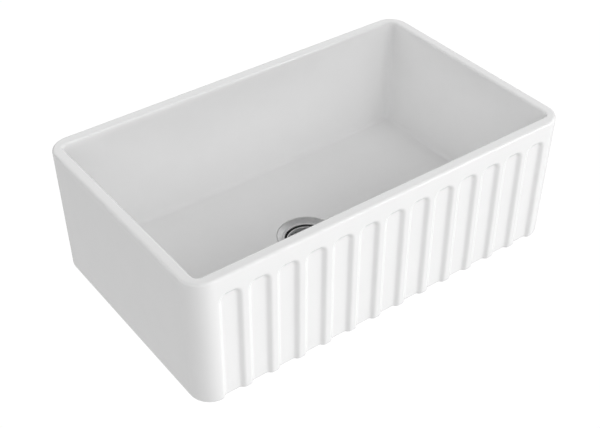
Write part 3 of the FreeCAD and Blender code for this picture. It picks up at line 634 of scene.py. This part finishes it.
def metal(name, dark, light, gloss, lines):
    """A metal with fine lines round the drain axis: two tints, a range of roughness, a depth of line."""
    made, tree, surface = new_material(name)
    place = add_node(tree, "ShaderNodeTexCoord")
    centred = add_node(
        tree, "ShaderNodeMapping", sockets={"Location": (-DRAIN_X, -DRAIN_Y, 0.0)},
        links={"Vector": (place, "Object")})
    flat = add_node(
        tree, "ShaderNodeVectorMath", settings={"operation": "MULTIPLY"},
        sockets={1: (1.0, 1.0, 0.0)}, links={0: (centred, "Vector")})
    reach = add_node(
        tree, "ShaderNodeVectorMath", settings={"operation": "LENGTH"}, links={0: (flat, "Vector")})
    height = add_node(tree, "ShaderNodeSeparateXYZ", links={"Vector": (centred, "Vector")})
    along = add_node(
        tree, "ShaderNodeMath", settings={"operation": "ADD"}, links={0: (reach, "Value"), 1: (height, "Z")})
    rings = add_node(
        tree, "ShaderNodeTexNoise", settings={"noise_dimensions": "1D"},
        sockets={"Scale": 1.0 / (RING_PITCH * MM), "Detail": 3.0, "Roughness": 0.6},
        links={"W": (along, "Value")})
    smear = add_node(
        tree, "ShaderNodeTexNoise", sockets={"Scale": 1.0 / (SMEAR * MM), "Detail": 2.0},
        links={"Vector": (centred, "Vector")})
    tint = ramp(tree, smear, "Fac", [(0.3, linear(dark)), (0.7, linear(light))])
    dull = add_node(
        tree, "ShaderNodeMapRange", sockets={"To Min": gloss[0], "To Max": gloss[1]},
        links={"Value": (rings, "Fac")})
    scored = add_node(
        tree, "ShaderNodeBump", sockets={"Strength": 0.3, "Distance": lines * MM},
        links={"Height": (rings, "Fac")})
    tree.links.new(tint.outputs["Color"], surface.inputs["Base Color"])
    tree.links.new(dull.outputs["Result"], surface.inputs["Roughness"])
    tree.links.new(scored.outputs["Normal"], surface.inputs["Normal"])
    surface.inputs["Metallic"].default_value = 1.0
    return made


polished = metal("polished_steel", "#D4D4D5", "#E0E0E0", (0.3, 0.42), 0.01)
fit_out(flange, "root", "strainer_flange", polished)

# ---------------------------------------------------------------------------------------------------
# Sink gasket. A thick moulded rubber ring between the recess under the fireclay and the waste's collar.

RUBBER_BED = 2.5
COLLAR_LEVEL = RECESS_DEPTH - RUBBER_BED
COLLAR_RADIUS = RECESS_RADIUS - 8.0

SINK_GASKET_BORE = HOLE_RADIUS - 1.4
SINK_GASKET_RADIUS = COLLAR_RADIUS - 1.0

sink_gasket = turned("rubber_sink_gasket", [
    (SINK_GASKET_BORE, COLLAR_LEVEL, 0.4),
    (SINK_GASKET_RADIUS, COLLAR_LEVEL, 0.4),
    (SINK_GASKET_RADIUS, RECESS_DEPTH, 0.4),
    (SINK_GASKET_BORE, RECESS_DEPTH, 0.4),
])

# Black nitrile rubber, moulded in a shot-blasted tool. It's dark and matt, with a soft grey sheen.
SPECK = 0.25
BLOOM = 12.0

rubber, tree, surface = new_material("black_rubber")
place = add_node(tree, "ShaderNodeTexCoord")
speck = add_node(
    tree, "ShaderNodeTexNoise", sockets={"Scale": 1.0 / (SPECK * MM), "Detail": 2.0},
    links={"Vector": (place, "Object")})
bloom = add_node(
    tree, "ShaderNodeTexNoise", sockets={"Scale": 1.0 / (BLOOM * MM), "Detail": 3.0},
    links={"Vector": (place, "Object")})
black = ramp(tree, bloom, "Fac", [(0.3, linear("#0C0C0D")), (0.7, linear("#151516"))])
sheen = add_node(
    tree, "ShaderNodeMapRange", sockets={"To Min": 0.48, "To Max": 0.66}, links={"Value": (bloom, "Fac")})
blasted = add_node(
    tree, "ShaderNodeBump", sockets={"Strength": 0.4, "Distance": 0.03 * MM},
    links={"Height": (speck, "Fac")})
tree.links.new(black.outputs["Color"], surface.inputs["Base Color"])
tree.links.new(sheen.outputs["Result"], surface.inputs["Roughness"])
tree.links.new(blasted.outputs["Normal"], surface.inputs["Normal"])
surface.inputs["Specular IOR Level"].default_value = 0.3
fit_out(sink_gasket, "root", "sink_gasket", rubber)

# ---------------------------------------------------------------------------------------------------
# Waste body. Moulded in one: a collar on ribs, a bowl round the cup, and a threaded outlet for the trap
# with a cross of webs inside, whose boss takes the brass insert.

BODY_INNER = THROAT_RADIUS + SHEET + 2.5
BODY_WALL = 3.0
BODY_DROP = 46.0
COLLAR_THICKNESS = 6.0
OUTLET_SHOULDER = 64.0
OUTLET_DROP = 92.0
OUTLET_CREST = 23.9
OUTLET_ROOT = 22.5
OUTLET_INNER = 20.5
OUTLET_PITCH = 2.31
THREAD_TURN_STEPS = 64
BOSS_RADIUS = 12.0
BOSS_TOP = 44.0
BOSS_HEIGHT = 24.0
INSERT_RADIUS = 8.5
INSERT_LENGTH = 18.0
WEB_THICKNESS = 3.0
RIBS = 12
RIB_THICKNESS = 2.0


def thread(name, root, crest, pitch, bottom, top, turn_steps):
    """A rolled or moulded thread: one ridge wound round the drain axis from a bottom to a top level."""
    sunk = root - 0.3
    turns = (top - bottom) / pitch - 1.0
    bpy.ops.object.select_all(action="DESELECT")
    bpy.ops.mesh.primitive_circle_add(vertices=4, fill_type="NOTHING")
    ridge = bpy.context.object
    ridge.name = name
    section = [(sunk, 0.0), (crest, pitch * 0.42), (crest, pitch * 0.58), (sunk, pitch)]
    for vertex, (radius, level) in zip(ridge.data.vertices, section):
        vertex.co = (radius * MM, 0.0, level * MM)
    modifier = ridge.modifiers.new("wind", "SCREW")
    modifier.angle = 2.0 * math.pi * turns
    modifier.screw_offset = pitch * turns * MM
    modifier.steps = modifier.render_steps = round(turns * turn_steps)
    bpy.ops.object.modifier_apply(modifier=modifier.name)
    bpy.ops.transform.translate(value=(DRAIN_X, DRAIN_Y, bottom * MM))
    bpy.ops.object.transform_apply(location=True)
    bpy.ops.object.mode_set(mode="EDIT")
    bpy.ops.mesh.select_all(action="SELECT")
    bpy.ops.mesh.fill_holes(sides=4)
    bpy.ops.object.mode_set(mode="OBJECT")
    close_mesh(ridge)
    return ridge


def plate(name, corners, thickness, easing):
    """A moulded web: an upright outline through the drain axis, given a thickness and soft edges."""
    bpy.ops.object.select_all(action="DESELECT")
    bpy.ops.mesh.primitive_circle_add(vertices=len(corners), fill_type="NGON")
    web = bpy.context.object
    web.name = name
    for vertex, (radius, level) in zip(web.data.vertices, corners):
        vertex.co = (DRAIN_X + radius * MM, DRAIN_Y - thickness / 2.0 * MM, level * MM)
    bpy.ops.object.mode_set(mode="EDIT")
    bpy.ops.mesh.select_all(action="SELECT")
    bpy.ops.mesh.extrude_region_move(TRANSFORM_OT_translate={"value": (0.0, thickness * MM, 0.0)})
    bpy.ops.mesh.select_all(action="SELECT")
    bpy.ops.mesh.bevel(offset=easing * MM, segments=3)
    bpy.ops.object.mode_set(mode="OBJECT")
    return web


def join(name, pieces):
    """Joins the forms of one moulding."""
    bpy.ops.object.select_all(action="DESELECT")
    for piece in pieces:
        piece.select_set(True)
    bpy.context.view_layer.objects.active = pieces[0]
    bpy.ops.object.join()
    pieces[0].name = name
    close_mesh(pieces[0])
    return pieces[0]


collar_foot = COLLAR_LEVEL - COLLAR_THICKNESS
body_outer = BODY_INNER + BODY_WALL
shell = turned("waste_shell", [
    (BODY_INNER, COLLAR_LEVEL, 0.5),
    (COLLAR_RADIUS, COLLAR_LEVEL, 0.5),
    (COLLAR_RADIUS, collar_foot, 1.5),
    (body_outer, collar_foot, 1.5),
    (body_outer, -BODY_DROP, 3.0),
    (OUTLET_CREST, -OUTLET_SHOULDER, 2.0),
    (OUTLET_CREST, -OUTLET_SHOULDER - 3.0, 0.4),
    (OUTLET_ROOT, -OUTLET_SHOULDER - 4.4, 0.4),
    (OUTLET_ROOT, -OUTLET_DROP, 0.6),
    (OUTLET_INNER, -OUTLET_DROP, 0.4),
    (OUTLET_INNER, -OUTLET_SHOULDER, 3.0),
    (BODY_INNER, -BODY_DROP, 3.0),
])
outlet_thread = thread(
    "outlet_thread", OUTLET_ROOT, OUTLET_CREST, OUTLET_PITCH, -OUTLET_DROP + 0.8, -OUTLET_SHOULDER - 2.0,
    THREAD_TURN_STEPS)
web_reach = BODY_INNER + BODY_WALL / 2.0
web_foot = (OUTLET_CREST + OUTLET_INNER) / 2.0
webs = plate("webs", [
    (-web_reach, -BOSS_TOP - 2.0), (-web_reach, -BODY_DROP - 1.0), (-web_foot, -OUTLET_SHOULDER),
    (web_foot, -OUTLET_SHOULDER), (web_reach, -BODY_DROP - 1.0), (web_reach, -BOSS_TOP - 2.0),
], WEB_THICKNESS, 0.5)
repeat_round(webs, 2, 180.0)
ribs = plate("ribs", [
    (body_outer - 1.0, collar_foot + 1.0), (COLLAR_RADIUS - 2.0, collar_foot + 1.0),
    (COLLAR_RADIUS - 2.0, collar_foot - 0.8), (body_outer + 0.5, -22.0), (body_outer - 1.0, -22.0),
], RIB_THICKNESS, 0.3)
repeat_round(ribs, RIBS)
boss_foot = -BOSS_TOP - BOSS_HEIGHT
boss = turned("boss", [
    (INSERT_RADIUS, -BOSS_TOP, 0.3),
    (BOSS_RADIUS, -BOSS_TOP, 0.8),
    (BOSS_RADIUS, boss_foot, 1.2),
    (0.0, boss_foot, 0.0),
    (0.0, -BOSS_TOP - INSERT_LENGTH, 0.0),
    (INSERT_RADIUS, -BOSS_TOP - INSERT_LENGTH, 0.3),
], steps=SMALL_TURN_STEPS)
waste_body = join("moulded_waste_body", [shell, outlet_thread, webs, ribs, boss])

# Natural polypropylene, injection moulded in a finely eroded tool. It's a waxy off-white, satin, with
# slow shades where the melt flowed.
FLOW = 35.0
EROSION = 0.4

moulded, tree, surface = new_material("moulded_polypropylene")
place = add_node(tree, "ShaderNodeTexCoord")
flow = add_node(
    tree, "ShaderNodeTexNoise", sockets={"Scale": 1.0 / (FLOW * MM), "Detail": 2.0},
    links={"Vector": (place, "Object")})
eroded = add_node(
    tree, "ShaderNodeTexNoise", sockets={"Scale": 1.0 / (EROSION * MM), "Detail": 2.0},
    links={"Vector": (place, "Object")})
waxy = ramp(tree, flow, "Fac", [(0.3, linear("#E4E3DC")), (0.7, linear("#EDECE7"))])
satin = add_node(
    tree, "ShaderNodeMapRange", sockets={"To Min": 0.34, "To Max": 0.46}, links={"Value": (flow, "Fac")})
pebbled = add_node(
    tree, "ShaderNodeBump", sockets={"Strength": 0.35, "Distance": 0.02 * MM},
    links={"Height": (eroded, "Fac")})
tree.links.new(waxy.outputs["Color"], surface.inputs["Base Color"])
tree.links.new(satin.outputs["Result"], surface.inputs["Roughness"])
tree.links.new(pebbled.outputs["Normal"], surface.inputs["Normal"])
fit_out(waste_body, "root", "waste_body", moulded)

# ---------------------------------------------------------------------------------------------------
# Screw insert. A turned brass bush in the moulding's boss, bored for the fixing screw.

SCREW_RADIUS = 6.0
THREAD_GAP = 0.05

insert = turned("brass_screw_insert", [
    (SCREW_RADIUS + THREAD_GAP, -BOSS_TOP - INSERT_LENGTH, 0.3),
    (INSERT_RADIUS, -BOSS_TOP - INSERT_LENGTH, 0.3),
    (INSERT_RADIUS, -BOSS_TOP, 0.3),
    (SCREW_RADIUS + THREAD_GAP, -BOSS_TOP, 0.6),
], steps=SMALL_TURN_STEPS)

# Free-cutting brass, turned and left bare. It's a warm yellow with bright tool lines.
brass = metal("brass", "#D8B76A", "#E6C983", (0.2, 0.36), 0.02)
fit_out(insert, "root", "screw_insert", brass)

# ---------------------------------------------------------------------------------------------------
# Fixing screw. A turned steel screw with a flat slotted head and a deep bore for the basket's stem. It
# draws the flange and the waste body together through the fireclay.

SCREW_TOP = -25.5
SCREW_HEAD = 11.0
SCREW_HEAD_HEIGHT = 3.0
SCREW_LENGTH = 33.0
SCREW_BORE = 4.5
SCREW_BORE_DEPTH = 16.0
SCREW_ROOT = 5.1
SCREW_PITCH = 1.75
SLOT_WIDTH = 2.4
SLOT_DEPTH = 1.2

under_head = SCREW_TOP - SCREW_HEAD_HEIGHT
screw_end = under_head - SCREW_LENGTH
shank_end = under_head - 6.0
screw = turned("screw_blank", [
    (SCREW_BORE, SCREW_TOP, 0.3),
    (SCREW_HEAD, SCREW_TOP, 1.0),
    (SCREW_HEAD, under_head, 0.3),
    (SCREW_RADIUS, under_head, 0.2),
    (SCREW_RADIUS, shank_end, 0.2),
    (SCREW_ROOT, shank_end - 0.9, 0.2),
    (SCREW_ROOT, screw_end, 0.6),
    (0.0, screw_end, 0.0),
    (0.0, SCREW_TOP - SCREW_BORE_DEPTH - 1.2, 0.0),
    (SCREW_BORE, SCREW_TOP - SCREW_BORE_DEPTH, 0.3),
], steps=96)
bpy.ops.object.select_all(action="DESELECT")
bpy.ops.mesh.primitive_cube_add(size=1.0, location=(DRAIN_X, DRAIN_Y, SCREW_TOP * MM))
slot_cutter = bpy.context.object
slot_cutter.scale = (SLOT_WIDTH * MM, 3.0 * SCREW_HEAD * MM, 2.0 * SLOT_DEPTH * MM)
bpy.ops.object.transform_apply(scale=True)
cut(screw, slot_cutter)
screw_thread = thread(
    "screw_thread", SCREW_ROOT, SCREW_RADIUS, SCREW_PITCH, screw_end + 0.4, shank_end, 36)
fixing_screw = join("slotted_fixing_screw", [screw, screw_thread])

# Stainless bar, turned on a lathe. It's a little darker than the sheet and shows the tool's fine rings.
lathe = metal("turned_steel", "#BEBEC0", "#CDCDCE", (0.2, 0.38), 0.03)
fit_out(fixing_screw, "root", "fixing_screw", lathe)

# ---------------------------------------------------------------------------------------------------
# Screw washer. A rubber ring that seals the screw's head on the cup floor.

SCREW_WASHER_BORE = SCREW_RADIUS + 0.3
SCREW_WASHER_RADIUS = 12.5
SCREW_WASHER_TOP = -CUP_DROP + 1.5

screw_washer = turned("rubber_screw_washer", [
    (SCREW_WASHER_BORE, -CUP_DROP, 0.2),
    (SCREW_WASHER_RADIUS, -CUP_DROP, 0.4),
    (SCREW_WASHER_RADIUS, SCREW_WASHER_TOP, 0.4),
    (SCREW_WASHER_BORE, SCREW_WASHER_TOP, 0.2),
], steps=SMALL_TURN_STEPS)
fit_out(screw_washer, "root", "screw_washer", rubber)

# ---------------------------------------------------------------------------------------------------
# Strainer basket. A cup drawn from thin stainless sheet, its rim turned out flat, with two rows of holes
# punched in the wall and five staggered rings of them in the floor.

BASKET_SHEET = 0.8
BASKET_LEVEL = 8.0
BASKET_RIM = 37.2
BASKET_WALL_TOP = BASKET_RIM - 2.0
BASKET_FLOOR = -16.0
BASKET_FLOOR_RADIUS = 33.4
BASKET_BEND = 4.0
WALL_HOLES = 24
WALL_HOLE = 2.1
WALL_HOLE_LEVELS = (1.0, -5.2)
WALL_DRILL_REACH = 36.0
WALL_DRILL = 10.0
FLOOR_DRILL = 6.0
HOLE_SIDES = 14
FLOOR_HOLES = 12
FLOOR_HOLE = 1.9
FLOOR_HOLE_REACH = (12.1, 16.2, 20.3, 24.4, 28.5)
STEM_HOLE = 4.3

basket = turned("drawn_basket", [
    (BASKET_RIM, BASKET_LEVEL - BASKET_SHEET, 0.38),
    (BASKET_RIM, BASKET_LEVEL, 0.38),
    (BASKET_WALL_TOP, BASKET_LEVEL, 0.8),
    (BASKET_FLOOR_RADIUS, BASKET_FLOOR, BASKET_BEND),
    (STEM_HOLE, BASKET_FLOOR, 0.15),
    (STEM_HOLE, BASKET_FLOOR - BASKET_SHEET, 0.15),
    (BASKET_FLOOR_RADIUS + BASKET_SHEET, BASKET_FLOOR - BASKET_SHEET, BASKET_BEND + BASKET_SHEET),
    (BASKET_WALL_TOP + BASKET_SHEET, BASKET_LEVEL - BASKET_SHEET, 0.4),
])
places = []
for number, level in enumerate(WALL_HOLE_LEVELS):
    angle = math.pi / WALL_HOLES * number
    across = (WALL_DRILL_REACH * math.cos(angle), WALL_DRILL_REACH * math.sin(angle), level)
    places.append((across, (0.0, QUARTER, angle)))
cut(basket, drills(places, WALL_HOLES, WALL_HOLE, WALL_DRILL, HOLE_SIDES))
places = []
for number, reach in enumerate(FLOOR_HOLE_REACH):
    angle = math.pi / FLOOR_HOLES * (number % 2)
    places.append(((reach * math.cos(angle), reach * math.sin(angle), BASKET_FLOOR), (0.0, 0.0, 0.0)))
cut(basket, drills(places, FLOOR_HOLES, FLOOR_HOLE, FLOOR_DRILL, HOLE_SIDES))
fit_out(basket, "basket", "basket_cup", polished)

# ---------------------------------------------------------------------------------------------------
# Rim seal. A black rubber ring stretched round the basket, rebated for its rim and flush with it, with
# two lips that close on the throat.

SEAL_TOP = BASKET_LEVEL - BASKET_SHEET
SEAL_FOOT = SEAL_TOP - 3.4
SEAL_INNER = BASKET_WALL_TOP + BASKET_SHEET
SEAL_OUTER = THROAT_RADIUS - 0.3

seal = turned("rubber_rim_seal", [
    (SEAL_INNER, SEAL_FOOT, 0.2),
    (SEAL_OUTER - 1.2, SEAL_FOOT, 0.4),
    (SEAL_OUTER, SEAL_FOOT + 1.2, 0.25),
    (SEAL_OUTER - 0.5, SEAL_FOOT + 2.0, 0.2),
    (SEAL_OUTER, SEAL_FOOT + 2.8, 0.25),
    (SEAL_OUTER, BASKET_LEVEL - 0.6, 0.2),
    (SEAL_OUTER - 0.6, BASKET_LEVEL, 0.4),
    (BASKET_RIM + 0.3, BASKET_LEVEL, 0.3),
    (BASKET_RIM + 0.3, SEAL_TOP, 0.0),
    (SEAL_INNER, SEAL_TOP, 0.2),
])
fit_out(seal, "basket", "rim_seal", rubber)

# ---------------------------------------------------------------------------------------------------
# Stem and its small parts. A turned pin hangs through the basket's floor on its shoulder, held by a
# washer and nut, and a split spring ring near its tip grips the screw's bore when the basket is raised.

STEM_RADIUS = 4.2
STEM_END = SCREW_TOP - 11.5
GROOVE = STEM_END + 4.0
GROOVE_WIDTH = 1.2
GROOVE_RADIUS = 3.4
SHOULDER = BASKET_FLOOR + 0.2
SHOULDER_RADIUS = 8.0
SHOULDER_HEIGHT = 1.5
NECK_RADIUS = 4.0
KNOB_FOOT = -3.0
KNOB_BORE = 9.0

stem = turned("turned_stem", [
    (0.0, STEM_END, 0.0),
    (STEM_RADIUS - 1.5, STEM_END, 0.6),
    (STEM_RADIUS, STEM_END + 1.5, 0.5),
    (STEM_RADIUS, GROOVE, 0.1),
    (GROOVE_RADIUS, GROOVE, 0.1),
    (GROOVE_RADIUS, GROOVE + GROOVE_WIDTH, 0.1),
    (STEM_RADIUS, GROOVE + GROOVE_WIDTH, 0.1),
    (STEM_RADIUS, SHOULDER, 0.2),
    (SHOULDER_RADIUS, SHOULDER, 0.3),
    (SHOULDER_RADIUS, SHOULDER + SHOULDER_HEIGHT, 0.5),
    (NECK_RADIUS, SHOULDER + SHOULDER_HEIGHT, 0.5),
    (NECK_RADIUS, KNOB_BORE, 0.4),
    (0.0, KNOB_BORE, 0.0),
], steps=SMALL_TURN_STEPS)
fit_out(stem, "stem", "stem", lathe)

RING_GAP = 30.0
RING_RADIUS = 4.35

stem_ring = turned("split_stem_ring", [
    (GROOVE_RADIUS + THREAD_GAP, GROOVE + THREAD_GAP, 0.3),
    (RING_RADIUS, GROOVE + THREAD_GAP, 0.35),
    (RING_RADIUS, GROOVE + GROOVE_WIDTH - THREAD_GAP, 0.35),
    (GROOVE_RADIUS + THREAD_GAP, GROOVE + GROOVE_WIDTH - THREAD_GAP, 0.3),
], turn=360.0 - RING_GAP, steps=48)
bpy.ops.object.mode_set(mode="EDIT")
bpy.ops.mesh.select_all(action="SELECT")
bpy.ops.mesh.fill_holes(sides=0)
bpy.ops.object.mode_set(mode="OBJECT")
close_mesh(stem_ring)

# Drawn spring wire, blued by its tempering. It's dark grey and smooth.
spring = metal("spring_steel", "#7E8087", "#8E9095", (0.25, 0.4), 0.01)
fit_out(stem_ring, "stem", "stem_ring", spring)

WASHER_TOP = BASKET_FLOOR - BASKET_SHEET - 0.2
WASHER_FOOT = WASHER_TOP - 1.0
WASHER_RADIUS = 8.5
SMALL_BORE = STEM_RADIUS + THREAD_GAP

washer = turned("stem_washer_disc", [
    (SMALL_BORE, WASHER_FOOT, 0.15),
    (WASHER_RADIUS, WASHER_FOOT, 0.3),
    (WASHER_RADIUS, WASHER_TOP, 0.2),
    (SMALL_BORE, WASHER_TOP, 0.15),
], steps=SMALL_TURN_STEPS)
fit_out(washer, "stem", "stem_washer", lathe)

NUT_FLATS = 13.0
NUT_TOP = WASHER_FOOT
NUT_FOOT = NUT_TOP - 3.0

nut_corner = NUT_FLATS / math.sqrt(3.0)
nut = turned("chamfered_stem_nut", [
    (SMALL_BORE, NUT_FOOT, 0.5),
    (NUT_FLATS / 2.0 - 0.1, NUT_FOOT, 0.0),
    (nut_corner + 0.3, NUT_FOOT + 0.6, 0.0),
    (nut_corner + 0.3, NUT_TOP - 0.1, 0.0),
    (NUT_FLATS / 2.0 + 0.4, NUT_TOP, 0.0),
    (SMALL_BORE, NUT_TOP, 0.3),
], steps=60)
bpy.ops.object.select_all(action="DESELECT")
bpy.ops.mesh.primitive_cylinder_add(
    vertices=6, radius=nut_corner * MM, depth=10.0 * MM, rotation=(0.0, 0.0, QUARTER),
    location=(DRAIN_X, DRAIN_Y, (NUT_TOP + NUT_FOOT) / 2.0 * MM))
bpy.ops.object.transform_apply(rotation=True)
cut(nut, bpy.context.object, "INTERSECT")
fit_out(nut, "stem", "stem_nut", lathe)

# ---------------------------------------------------------------------------------------------------
# Knob. Turned from bar and polished, waisted for finger and thumb, with a low crown.

KNOB_RADIUS = 10.5
KNOB_WAIST = 6.2
KNOB_TOP = KNOB_FOOT + 18.0
KNOB_BORE_RADIUS = NECK_RADIUS + THREAD_GAP

knob = turned("polished_knob", [
    (KNOB_BORE_RADIUS, KNOB_FOOT, 0.2),
    (KNOB_WAIST, KNOB_FOOT, 0.4),
    (KNOB_WAIST, KNOB_FOOT + 8.0, 5.0),
    (KNOB_RADIUS, KNOB_FOOT + 12.5, 1.6),
    (KNOB_RADIUS, KNOB_TOP - 1.6, 1.2),
    (KNOB_RADIUS * 0.8, KNOB_TOP, 1.5),
    (0.0, KNOB_TOP, 0.0),
    (0.0, KNOB_BORE, 0.0),
    (KNOB_BORE_RADIUS, KNOB_BORE, 0.3),
])
fit_out(knob, "stem", "knob", polished)
